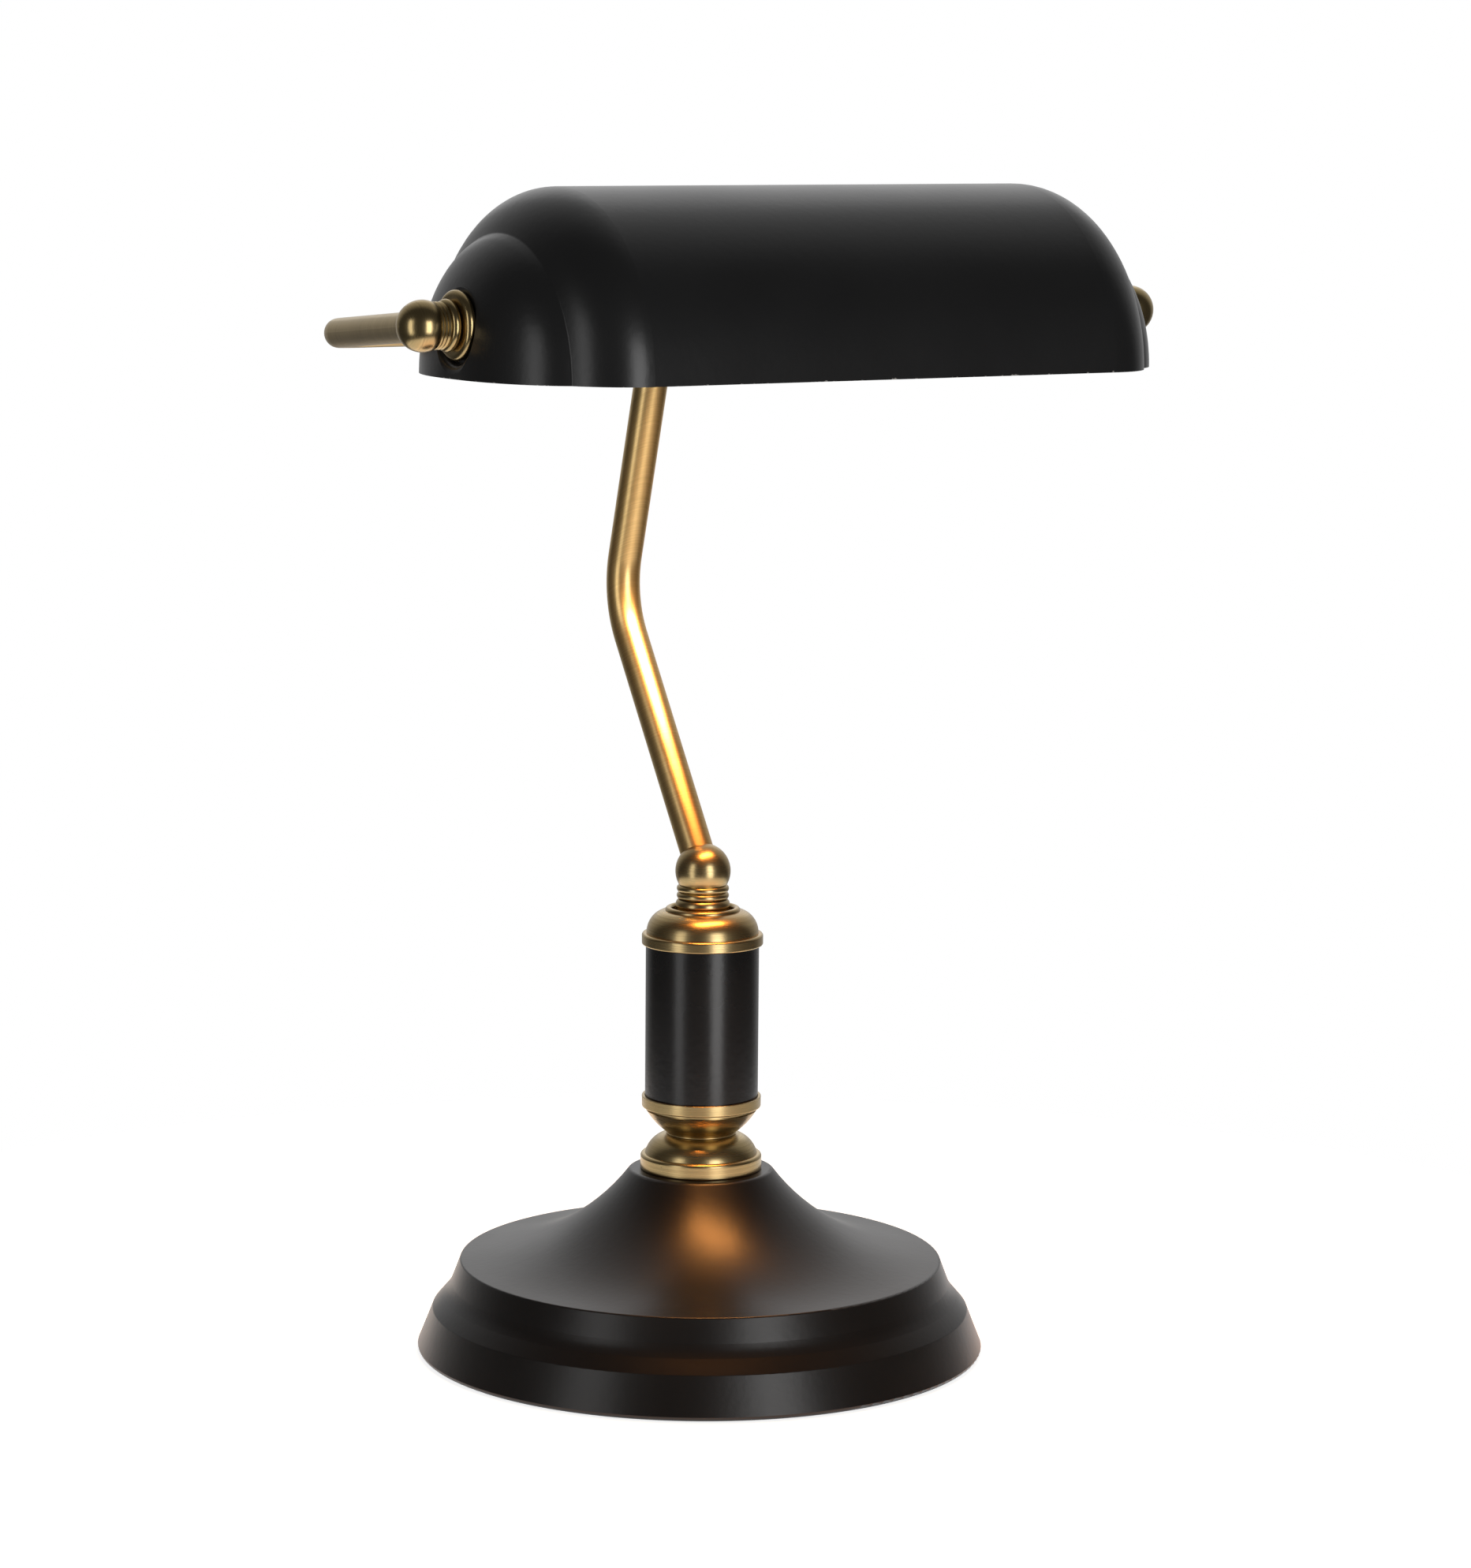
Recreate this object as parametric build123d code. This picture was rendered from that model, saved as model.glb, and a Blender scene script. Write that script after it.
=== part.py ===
from build123d import *

import os
from math import acos, asin, degrees, radians, sin, sqrt

# Banker's desk lamp with a trough shade that tilts in a bow, on a bent stem
# that turns on a column. Millimetres. X runs along the shade, -Y is the front
# and Z is up. The origin is the centre of the underside.

# ---- Driving dimensions -------------------------------------------------

# Clearances
RUN_FIT = 0.05        # radial gap of a turning fit
SEAT_GAP = 0.2        # gap between faces that turn on each other
SLIP = 0.15           # radial gap of a part that is slipped in and clamped
BORE_FIT = 0.02       # radial gap of a brazed or screwed fit

# Base
base_r = 100.4        # widest radius
base_lift = 0.3       # height of the steel rim above the table
base_edge_r = 1.6     # rolled bottom edge
base_wall = 1.5
rim_width = 8.0       # rolled rim under the edge
lower_band_lean = 5.2
band_top_z = 15.0     # top of the lower band
band_round = 1.0
cove_width = 5.8
cove_round = 15.0
ledge_z = 21.7        # top of the cove between the two bands
upper_band_lean = 4.1
shoulder_z = 32.5     # edge between the upper band and the top
shoulder_round = 0.8
neck_r = 25.3         # flat ring that carries the column
neck_z = 65.0
flare_r = 80.5        # hollow sweep from the shoulder to the neck
neck_round = 2.0

# Underside and ballast
felt_inset = 0.5      # the felt's edge inside the cover's
felt_t = 2.6
cover_gap = 1.5       # between the cover's edge and the rolled rim
cover_t = 2.0
weight_gap = 6.5      # from the ballast's edge to the top of the lower band
weight_t = 12.0
nut_recess_r = 13.0
nut_recess_depth = 8.0
cover_screw_circle_r = 60.0
cover_screw_count = 3
cover_screw_r = 2.0
cover_screw_len = 9.0
screw_head_r = 3.8
screw_head_t = 1.8
earth_screw_x = 40.0
earth_screw_r = 2.0
earth_screw_len = 8.0
earth_head_r = 4.0
earth_head_t = 2.6

# Cable inlet at the back of the base
inlet_z = 8.8
inlet_body_r = 4.4
inlet_bore_r = 3.1
inlet_flange_r = 5.0
inlet_flange_t = 1.6

# Rod that clamps the column
rod_r = 5.0
rod_bore_r = 3.5
rod_bottom_z = 5.4
nut_af = 14.0
nut_t = 3.5
nut_washer_r = 11.0
nut_washer_t = 1.6
spacer_r = 9.0

# Column
foot_ring_r = 21.5
foot_ring_t = 5.6
foot_ring_round = 1.2
foot_dome_inset = 1.6   # the dome's edge inside the ring's
foot_height = 13.3
waist_r = 12.2
waist_bead_t = 0.7
waist_bead_proud = 0.25
cup_bowl_inset = 0.4    # the bowl's edge inside the tube's
cup_bowl_height = 7.9
cup_groove_t = 1.2      # groove between the bowl and the ring
cup_groove_depth = 0.7
cup_ring_proud = 1.1    # how far the ring stands out from the tube
cup_ring_t = 4.0
ring_round = 0.5        # small rounds on the rings' edges
column_wall = 1.4       # wall of the spun brass pieces
tube_r = 20.0
tube_wall = 1.5
tube_len = 60.7
tube_seat_depth = 3.6   # how far the tube stands in the cup
cap_ring_proud = 1.4
cap_ring_t = 4.0
cap_ring_round = 0.9
cap_ring_lap = 2.8      # how far the cap's ring hangs over the tube
cap_dome_inset = 0.2    # the dome's edge inside the tube's
cap_dome_round = 7.4    # width of the dome's round shoulder
cap_dome_height = 8.1
cap_lip_r = 13.2
cap_lip_height = 1.3
cap_well_gap = 1.3      # between the lip's well and the swivel collar in it
cap_well_depth = 3.2

# Swivel on top of the column
collar_r = 9.6
collar_t = 5.8
collar_bead_t = 3.6     # round bead at the collar's top
collar_round = 0.8
swivel_shank_r = 6.5
swivel_shank_len = 17.0
swivel_web_depth = 2.0  # bottom of the web below the cap's floor
ridge_r = 9.2
ridge_depth = 0.8
ridge_pitch = 2.5
ridge_count = 2
ball_r = 9.75
spigot_r = 4.2
spigot_bore_r = 2.4
clip_groove_depth = 0.6
clip_gap = 0.1          # between the clip and the rod's bore around it
clip_t = 0.8

# Stem
stem_r = 6.0
stem_wall = 1.2
stem_bend_y = 59.0      # place of the bend
stem_bend_z = 263.0
stem_bend_r = 35.0
stem_end_in_ball = 2.0  # distance of the tube's end from the ball's centre

# Bow
bow_r = 5.0
bow_wall = 1.0
bow_depth = 86.4        # from the pivots back to the tube behind the shade
bow_drop = 7.0          # that tube's height below the pivots
bow_taper = 10.7        # how far each side arm leans in
bow_bend_r = 14.0
bow_end_in_hub = 4.5
bow_end_in_ball = 3.5
hub_r = 12.0
hub_stem_gap = 1.6      # from the bow tubes to the stem's end, in the hub
hub_hollow_r = 3.5

# Shade pivots, listed from the shade outwards
pivot_y = -54.4
pivot_z = 368.4
nipple_r = 4.0
nipple_bore_r = 2.6
flange_r = 11.5
flange_t = 3.7
pivot_collar_r = 8.6
pivot_collar_t = 3.2
pivot_neck_r = 7.8
pivot_neck_groove = 0.3
pivot_neck_len = 3.8
pivot_neck_rings = 3
end_ball_r = 8.5
end_ball_hollow_r = 4.2
nipple_end_in_ball = 5.7
nipple_in_holder = 5.0
inner_washer_r = 8.0
inner_washer_t = 1.0
spring_washer_r = 7.0
spring_washer_t = 1.2
pivot_nut_af = 12.0
pivot_nut_t = 4.0

# Shade: half a turned body, lying on its side
shade_r = 61.6
shade_straight_x = 90.4   # end of the plain cylinder
shade_round_len = 24.9    # length and depth of the rounded shoulder
shade_round_depth = 28.6
shade_dome_offset = 15.7  # where the end dome starts to curve, past the cylinder's end
shade_dome_len = 24.0
shade_dome_depth = 43.1
shade_dome_step = 13.5    # how much smaller the end dome is than the cylinder
shade_crease_round = 1.2  # where the shoulder and the dome meet
shade_wall = 1.0
shade_axis_drop = 17.3    # the shade's own axis and open edge below the pivots
pad_margin = 0.7          # flat round seat in each end, past the flange's edge
pad_sink = 3.5            # depth of the seat below the end's middle, and its rounded rim
pad_depth = 8.0           # reach of the blocks that shape the seat

# Lampholder and bulb, on the left pivot
holder_neck_r = 8.5
holder_cap_len = 15.0
holder_cap_skirt = 3.0
holder_wall = 2.4
holder_len = 34.0
holder_floor_t = 3.0
bulb_cap_gap = 0.8        # between the bulb's cap and the sleeve around it
sleeve_wall = 0.5
sleeve_gap = 0.2
sleeve_len = 24.0
sleeve_drop = 1.0         # from the floor of the holder to the sleeve
contact_t = 0.6
contact_width = 7.0
contact_len = 16.0
wire_hole_r = 1.6
wire_hole_x = 9.5
bulb_cap_r = 13.1
bulb_cap_len = 22.0
bulb_tip_r = 5.0
bulb_tip_len = 3.4
bulb_foot_r = 10.5
bulb_r = 15.0
bulb_len = 158.0
bulb_wall = 1.0
bulb_neck_inset = 0.3
bulb_neck_len = 12.0

# ---- Places worked out from the dimensions ----------------------------------

rim_r = base_r - rim_width
band_top_r = base_r - lower_band_lean
ledge_r = band_top_r - cove_width
shoulder_r = ledge_r - upper_band_lean
cover_r = rim_r - cover_gap
felt_r = cover_r - felt_inset
weight_r = band_top_r - weight_gap
cover_z = felt_t
weight_z = cover_z + cover_t
weight_top_z = weight_z + weight_t
nut_recess_top_z = weight_z + nut_recess_depth
foot_dome_r = foot_ring_r - foot_dome_inset
foot_top_z = neck_z + foot_height
cup_bowl_r = tube_r - cup_bowl_inset
cup_groove_r = cup_bowl_r - cup_groove_depth
cup_ring_r = tube_r + cup_ring_proud
cup_ring_z = foot_top_z + cup_bowl_height + cup_groove_t
cup_top_z = cup_ring_z + cup_ring_t
tube_z = cup_top_z - tube_seat_depth
tube_top_z = tube_z + tube_len
cap_ring_r = tube_r + cap_ring_proud
cap_ring_z = tube_top_z - cap_ring_lap
cap_ring_top_z = cap_ring_z + cap_ring_t
cap_dome_r = tube_r - cap_dome_inset
cap_dome_centre_r = cap_dome_r - cap_dome_round
cap_lip_angle = degrees(acos((cap_lip_r - cap_dome_centre_r) / cap_dome_round))
cap_lip_z = cap_ring_top_z + cap_dome_height * sin(radians(cap_lip_angle))
cap_lip_top_z = cap_lip_z + cap_lip_height
cap_well_r = collar_r + cap_well_gap
cap_floor_z = cap_lip_top_z - cap_well_depth
collar_top_z = cap_floor_z + collar_t
swivel_z = collar_top_z + SEAT_GAP
swivel_base_z = cap_floor_z - swivel_shank_len
web_z = cap_floor_z - swivel_web_depth
clip_r = rod_r - clip_gap
clip_groove_r = spigot_r - clip_groove_depth
clip_z = web_z - SEAT_GAP - clip_t
spigot_end_z = clip_z - clip_t
rod_top_z = spigot_end_z - SEAT_GAP
ridge_root_r = ridge_r - ridge_depth
ridges_top_z = swivel_z + ridge_count * ridge_pitch
ball_centre = Vector(0, 0, ridges_top_z + sqrt(ball_r**2 - ridge_root_r**2))
stem_bend = Vector(0, stem_bend_y, stem_bend_z)
shade_axis_z = pivot_z - shade_axis_drop
shade_dome_x = shade_straight_x + shade_dome_offset
shade_dome_r = shade_r - shade_dome_step
shade_end_x = shade_dome_x + shade_dome_len
pad_r = flange_r + pad_margin
pad_x = shade_end_x - pad_sink
flange_x = pad_x + flange_t
pivot_collar_x = flange_x + SEAT_GAP
pivot_neck_x = pivot_collar_x + pivot_collar_t
end_ball_x = pivot_neck_x + pivot_neck_len + sqrt(end_ball_r**2 - pivot_neck_r**2)
end_ball_centre = Vector(end_ball_x, pivot_y, pivot_z)
hub_centre = Vector(0, pivot_y + bow_depth, pivot_z - bow_drop)
bow_corner = hub_centre + Vector(end_ball_x - bow_taper, 0, 0)
stem_end_in_hub = bow_r + hub_stem_gap
nipple_outer_x = end_ball_x - nipple_end_in_ball
inner_washer_x = pad_x - shade_wall - inner_washer_t
spring_washer_x = inner_washer_x - SEAT_GAP - spring_washer_t
holder_cap_x = spring_washer_x - pivot_nut_t
nipple_inner_x = holder_cap_x - nipple_in_holder
holder_r = bulb_cap_r + bulb_cap_gap + sleeve_wall + sleeve_gap + holder_wall
holder_top_x = holder_cap_x - holder_cap_len
holder_floor_x = holder_top_x - holder_floor_t
bulb_tip_x = holder_floor_x - contact_t - BORE_FIT
bulb_foot_x = bulb_tip_x - bulb_tip_len
bulb_glass_x = bulb_foot_x - bulb_cap_len
bulb_neck_r = bulb_cap_r - bulb_neck_inset

# ---- Helpers ----------------------------------------------------------------


def turned(*outline):
    """A solid turned about the column, from an outline of radius and height."""
    return revolve(Plane.XZ * make_face(Curve() + list(outline)), axis=Axis.Z)


def disc(radius, z, height):
    """A plain disc about the column, standing on height z."""
    return extrude(Plane.XY.offset(z) * Circle(radius), amount=height)


def ring(outer_r, inner_r, z, height):
    """A plain ring about the column, standing on height z."""
    return disc(outer_r, z, height) - disc(inner_r, z, height)


def pivot_turned(*outline):
    """A solid turned about the right pivot, from an outline of x and radius."""
    plane = Plane(origin=(0, pivot_y, pivot_z), x_dir=(1, 0, 0), z_dir=(0, -1, 0))
    axis = Axis((0, pivot_y, pivot_z), (1, 0, 0))
    return revolve(plane * make_face(Curve() + list(outline)), axis=axis)


def pivot_plane(x):
    """The plane across the right pivot at a distance x from the middle."""
    return Plane(origin=(x, pivot_y, pivot_z), x_dir=(0, 1, 0), z_dir=(1, 0, 0))


def pivot_disc(radius, x, length):
    """A plain disc about the right pivot, from x outwards."""
    return extrude(pivot_plane(x) * Circle(radius), amount=length)


def pivot_ring(outer_r, inner_r, x, length):
    """A plain ring about the right pivot, from x outwards."""
    return pivot_disc(outer_r, x, length) - pivot_disc(inner_r, x, length)


def loop(*points):
    """A closed outline of straight lines."""
    return [Polyline(*points, close=True)]


def rod_between(start, end, radius):
    """A round rod from one point to another."""
    way = end - start
    return extrude(Plane(origin=start, z_dir=way) * Circle(radius), amount=way.length)


def tube_along(path, radius, wall):
    """A round tube along a path."""
    section = Plane(origin=path @ 0, z_dir=path % 0) * (Circle(radius) - Circle(radius - wall))
    return sweep(section, path=path)


def save(node, solid):
    """Write one piece to its own file."""
    export_step(solid, f"parts/{node}.step")


def save_pair(name, solid):
    """Write a piece of the right pivot and its mirror image on the left."""
    save(f"{name}_right", solid)
    save(f"{name}_left", mirror(solid, about=Plane.YZ))


# ---- Base -------------------------------------------------------------------


def base_outline():
    """The base's outer skin from the rolled rim up to the hole for the rod."""
    edge_z = base_lift + base_edge_r
    outline = Wire(
        [
            Line((rim_r, base_lift), (base_r - base_edge_r, base_lift)),
            CenterArc((base_r - base_edge_r, edge_z), base_edge_r, -90, 90),
            Line((base_r, edge_z), (band_top_r, band_top_z)),
            Line((band_top_r, band_top_z), (ledge_r, ledge_z)),
            Line((ledge_r, ledge_z), (shoulder_r, shoulder_z)),
            RadiusArc((shoulder_r, shoulder_z), (neck_r, neck_z), flare_r),
            Line((neck_r, neck_z), (rod_r + SLIP, neck_z)),
        ]
    )
    rounds = [
        (Vector(band_top_r, band_top_z), band_round),
        (Vector(ledge_r, ledge_z), cove_round),
        (Vector(shoulder_r, shoulder_z), shoulder_round),
        (Vector(neck_r, neck_z), neck_round),
    ]
    for corner, radius in rounds:
        outline = outline.fillet_2d(radius, [outline.vertices().sort_by_distance(corner)[0]])
    return outline


def base_skin(depth):
    """The layer of the base's skin from its outside to a depth."""
    layer = offset(base_outline(), amount=depth, side=Side.LEFT)
    return revolve(Plane.XZ * make_face(layer), axis=Axis.Z)


def inlet_rod(radius):
    """A rod through the back of the base on the axis of the cable inlet."""
    depth = base_r - rim_r
    start = Vector(0, rim_r - depth, inlet_z)
    return rod_between(start, Vector(0, base_r + depth, inlet_z), radius)


def base_shell():
    """Spun steel base with the hole for the cable bush."""
    return base_skin(base_wall) - inlet_rod(inlet_body_r + SLIP)


def band_cone(grow):
    """The lower band as a solid cone, grown outwards by a distance."""
    low_z = base_lift + base_edge_r
    slope = (band_top_r - base_r) / (band_top_z - low_z)
    bottom_z = low_z - inlet_flange_r
    top_z = band_top_z + inlet_flange_r
    bottom_r = base_r + grow + slope * (bottom_z - low_z)
    top_r = base_r + grow + slope * (top_z - low_z)
    return turned(*loop((0, bottom_z), (bottom_r, bottom_z), (top_r, top_z), (0, top_z)))


def cable_bush():
    """Grommet with a flange on each side of the base's wall."""
    slope = (base_r - band_top_r) / (band_top_z - base_lift - base_edge_r)
    wall_across = base_wall * sqrt(1 + slope**2)
    layer = band_cone(inlet_flange_t) - band_cone(-wall_across - inlet_flange_t)
    wall = band_cone(0) - band_cone(-wall_across)
    flanges = (inlet_rod(inlet_flange_r) & layer) - wall
    body = inlet_rod(inlet_body_r) & layer
    return body + flanges - inlet_rod(inlet_bore_r)


def screw_shank(radius, length):
    """A plain shank that stands on its end."""
    return extrude(Circle(radius), amount=length)


def cover_screw_places():
    """Where the cover's screws stand, around the column."""
    turns = [360 * n / cover_screw_count for n in range(cover_screw_count)]
    return [Rot(0, 0, turn) * Pos(cover_screw_circle_r, 0, 0) for turn in turns]


def base_weight():
    """Cast-iron disc with a recess for the nut and tapped holes."""
    weight = ring(weight_r, rod_r + SLIP, weight_z, weight_t)
    weight -= disc(nut_recess_r, weight_z, nut_recess_depth)
    for place in cover_screw_places():
        weight -= place * Pos(0, 0, weight_z) * screw_shank(cover_screw_r, cover_screw_len)
    earth_hole_z = weight_top_z - earth_screw_len
    return weight - Pos(earth_screw_x, 0, earth_hole_z) * screw_shank(earth_screw_r, earth_screw_len)


def cover_screw():
    """Countersunk screw at its real height, on the column's axis."""
    head_top = cover_z + screw_head_t
    shank_top = weight_z + cover_screw_len
    return turned(*loop(
        (0, cover_z),
        (screw_head_r, cover_z),
        (cover_screw_r, head_top),
        (cover_screw_r, shank_top),
        (0, shank_top),
    ))


def base_cover():
    """Steel plate under the ballast, countersunk for its screws."""
    cover = disc(cover_r, cover_z, cover_t)
    for place in cover_screw_places():
        cover -= place * cover_screw()
    return cover


def cover_screws():
    """The screws that hold the cover to the ballast."""
    return Compound([place * cover_screw() for place in cover_screw_places()])


def earth_screw():
    """Brass screw for the earth wire, in the top of the ballast."""
    seat = Pos(earth_screw_x, 0, weight_top_z)
    shank = seat * Pos(0, 0, -earth_screw_len) * screw_shank(earth_screw_r, earth_screw_len)
    return shank + seat * screw_shank(earth_head_r, earth_head_t)


def hexagon(af):
    """A hexagon given by its width across the flats."""
    return RegularPolygon(af / 2, 6, major_radius=False)


def rod_nut():
    """Nut in the ballast's recess, which pulls the whole column down."""
    bottom = Plane.XY.offset(nut_recess_top_z - nut_washer_t - nut_t)
    return extrude(bottom * (hexagon(nut_af) - Circle(rod_r + BORE_FIT)), amount=nut_t)


# ---- Column -----------------------------------------------------------------


def ring_rim(radius, low_z, high_z, low_round, high_round):
    """Outline of a ring's rim from its lower face to its upper face."""
    return [
        CenterArc((radius - low_round, low_z + low_round), low_round, -90, 90),
        Line((radius, low_z + low_round), (radius, high_z - high_round)),
        CenterArc((radius - high_round, high_z - high_round), high_round, 0, 90),
    ]


def column_foot():
    """Spun brass foot: a ring, a dome and the waist."""
    dome_z = neck_z + foot_ring_t
    bead_z = foot_top_z - waist_bead_t
    middle_r = waist_r + 0.62 * (foot_dome_r - waist_r)
    middle_z = dome_z + 0.68 * (bead_z - dome_z)
    inner_top_z = foot_top_z - column_wall
    inner_r = foot_dome_r - column_wall
    inner_waist_r = waist_r - column_wall
    bore_r = rod_r + SLIP
    return turned(
        *ring_rim(foot_ring_r, neck_z, dome_z, ring_round, foot_ring_round),
        Line((foot_ring_r - foot_ring_round, dome_z), (foot_dome_r, dome_z)),
        ThreePointArc((foot_dome_r, dome_z), (middle_r, middle_z), (waist_r, bead_z)),
        ThreePointArc(
            (waist_r, bead_z),
            (waist_r + waist_bead_proud, bead_z + waist_bead_t / 2),
            (waist_r, foot_top_z),
        ),
        Polyline(
            (waist_r, foot_top_z),
            (bore_r, foot_top_z),
            (bore_r, inner_top_z),
            (inner_waist_r, inner_top_z),
            (inner_waist_r, bead_z - column_wall),
        ),
        ThreePointArc(
            (inner_waist_r, bead_z - column_wall),
            (middle_r - column_wall, middle_z - column_wall / 2),
            (inner_r, dome_z),
        ),
        Polyline((inner_r, dome_z), (inner_r, neck_z), (foot_ring_r - ring_round, neck_z)),
    )


def column_cup():
    """Spun brass cup that holds the tube's lower end."""
    floor_z = foot_top_z + column_wall
    socket_r = tube_r + SLIP
    ledge_in_r = cup_groove_r - column_wall
    bowl_z = cup_ring_z - cup_groove_t
    middle_r = waist_r + 0.62 * (cup_bowl_r - waist_r)
    middle_z = foot_top_z + 0.51 * (bowl_z - foot_top_z)
    bore_r = rod_r + SLIP
    return turned(
        Line((bore_r, foot_top_z), (waist_r, foot_top_z)),
        ThreePointArc((waist_r, foot_top_z), (middle_r, middle_z), (cup_bowl_r, bowl_z)),
        Polyline(
            (cup_bowl_r, bowl_z),
            (cup_groove_r, bowl_z),
            (cup_groove_r, cup_ring_z),
            (cup_ring_r - ring_round, cup_ring_z),
        ),
        *ring_rim(cup_ring_r, cup_ring_z, cup_top_z, ring_round, ring_round / 2),
        Polyline(
            (cup_ring_r - ring_round / 2, cup_top_z),
            (socket_r, cup_top_z),
            (socket_r, tube_z),
            (ledge_in_r, tube_z),
            (ledge_in_r, bowl_z),
            (middle_r - column_wall, middle_z + column_wall),
            (waist_r - column_wall, floor_z),
            (bore_r, floor_z),
            (bore_r, foot_top_z),
        ),
    )


def column_cap():
    """Brass cap: ring, dome and raised lip around the well of the swivel."""
    socket_r = tube_r + SLIP
    lip_top_r = (cap_lip_r + cap_well_r) / 2
    bore_r = swivel_shank_r + SLIP
    under_z = cap_floor_z - column_wall
    under_r = cap_lip_r - column_wall
    dome_centre = (cap_dome_centre_r, cap_ring_top_z)
    return turned(
        Line((socket_r, cap_ring_z), (cap_ring_r - ring_round, cap_ring_z)),
        *ring_rim(cap_ring_r, cap_ring_z, cap_ring_top_z, ring_round, cap_ring_round),
        Line((cap_ring_r - cap_ring_round, cap_ring_top_z), (cap_dome_r, cap_ring_top_z)),
        EllipticalCenterArc(dome_centre, cap_dome_round, cap_dome_height, 0, arc_size=cap_lip_angle),
        ThreePointArc((cap_lip_r, cap_lip_z), (lip_top_r, cap_lip_top_z), (cap_well_r, cap_lip_z)),
        Polyline(
            (cap_well_r, cap_lip_z),
            (cap_well_r, cap_floor_z),
            (bore_r, cap_floor_z),
            (bore_r, under_z),
            (under_r, under_z),
            (tube_r - tube_wall, tube_top_z),
            (socket_r, tube_top_z),
            (socket_r, cap_ring_z),
        ),
    )


# ---- Swivel -----------------------------------------------------------------


def swivel_base():
    """Fixed half of the swivel, screwed on the rod to clamp the column."""
    root_r = collar_r - collar_round
    bead_z = collar_top_z - collar_bead_t
    middle_z = (bead_z + collar_top_z) / 2
    socket_r = rod_r + BORE_FIT
    bore_r = spigot_r + RUN_FIT
    return turned(
        Polyline(
            (socket_r, swivel_base_z),
            (swivel_shank_r, swivel_base_z),
            (swivel_shank_r, cap_floor_z),
            (root_r, cap_floor_z),
            (root_r, bead_z),
        ),
        ThreePointArc((root_r, bead_z), (collar_r, middle_z), (root_r, collar_top_z)),
        Polyline(
            (root_r, collar_top_z),
            (bore_r, collar_top_z),
            (bore_r, web_z),
            (socket_r, web_z),
            (socket_r, swivel_base_z),
        ),
    )


def swivel_ball():
    """Turned ball with two ridges and the hollow spigot that it turns on."""
    ridges = []
    for n in range(ridge_count):
        low = swivel_z + n * ridge_pitch
        middle = low + ridge_pitch / 2
        high = low + ridge_pitch
        ridges.append(ThreePointArc((ridge_root_r, low), (ridge_r, middle), (ridge_root_r, high)))
    groove_top_z = clip_z + clip_t
    body = turned(
        Polyline(
            (0, spigot_end_z),
            (spigot_r, spigot_end_z),
            (spigot_r, clip_z),
            (clip_groove_r, clip_z),
            (clip_groove_r, groove_top_z),
            (spigot_r, groove_top_z),
            (spigot_r, swivel_z),
            (ridge_root_r, swivel_z),
        ),
        *ridges,
        ThreePointArc((ridge_root_r, ridges_top_z), (ball_r, ball_centre.Z), (0, ball_centre.Z + ball_r)),
        Line((0, ball_centre.Z + ball_r), (0, spigot_end_z)),
    )
    way = (stem_bend - ball_centre).normalized()
    tube_end = ball_centre + way * stem_end_in_ball
    body -= rod_between(tube_end, ball_centre + way * 2 * ball_r, stem_r + BORE_FIT)
    body -= rod_between(ball_centre, tube_end, spigot_bore_r)
    return body - disc(spigot_bore_r, spigot_end_z, ball_centre.Z - spigot_end_z)


def swivel_clip():
    """Retaining ring in the spigot's groove."""
    return ring(clip_r, clip_groove_r + BORE_FIT, clip_z, clip_t)


# ---- Stem and bow -----------------------------------------------------------


def stem_tube():
    """Bent tube from the swivel ball up to the hub of the bow."""
    low = (stem_bend - ball_centre).normalized()
    high = (hub_centre - stem_bend).normalized()
    path = FilletPolyline(
        ball_centre + low * stem_end_in_ball,
        stem_bend,
        hub_centre - high * stem_end_in_hub,
        radius=stem_bend_r,
    )
    return tube_along(path, stem_r, stem_wall)


def bow_tube():
    """Right half of the bow: side arm, tight elbow and back tube."""
    way = (bow_corner - end_ball_centre).normalized()
    path = FilletPolyline(
        end_ball_centre + way * bow_end_in_ball,
        bow_corner,
        hub_centre + Vector(bow_end_in_hub, 0, 0),
        radius=bow_bend_r,
    )
    return tube_along(path, bow_r, bow_wall)


def bow_hub():
    """Ball that joins both halves of the bow to the stem."""
    hub = Pos(*hub_centre) * (Sphere(hub_r) - Sphere(hub_hollow_r))
    down = (stem_bend - hub_centre).normalized()
    branches = [
        (Vector(-1, 0, 0), bow_end_in_hub, bow_r),
        (Vector(1, 0, 0), bow_end_in_hub, bow_r),
        (down, stem_end_in_hub, stem_r),
    ]
    for way, tube_end, radius in branches:
        hub -= rod_between(hub_centre + way * tube_end, hub_centre + way * 2 * hub_r, radius + BORE_FIT)
        hub -= rod_between(hub_centre, hub_centre + way * tube_end, hub_hollow_r)
    return hub


# ---- Shade pivots, on the right side ------------------------------------------


def end_ball():
    """Ball with a ringed neck, bored for the bow and the pivot nipple."""
    root_r = pivot_neck_r - pivot_neck_groove
    step = pivot_neck_len / pivot_neck_rings
    neck = [(pivot_neck_x, 0), (pivot_neck_x, root_r)]
    for n in range(pivot_neck_rings):
        low = pivot_neck_x + n * step
        neck += [(low + step / 2, pivot_neck_r), (low + step, root_r)]
    start = (neck[-1][0], pivot_neck_r)
    body = pivot_turned(
        Polyline(*neck, start),
        ThreePointArc(start, (end_ball_x, end_ball_r), (end_ball_x + end_ball_r, 0)),
        Line((end_ball_x + end_ball_r, 0), (pivot_neck_x, 0)),
    )
    way = (bow_corner - end_ball_centre).normalized()
    tube_end = end_ball_centre + way * bow_end_in_ball
    body -= Pos(*end_ball_centre) * Sphere(end_ball_hollow_r)
    body -= rod_between(tube_end, end_ball_centre + way * 2 * end_ball_r, bow_r + BORE_FIT)
    return body - pivot_disc(nipple_r + BORE_FIT, pivot_neck_x, nipple_outer_x - pivot_neck_x)


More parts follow.
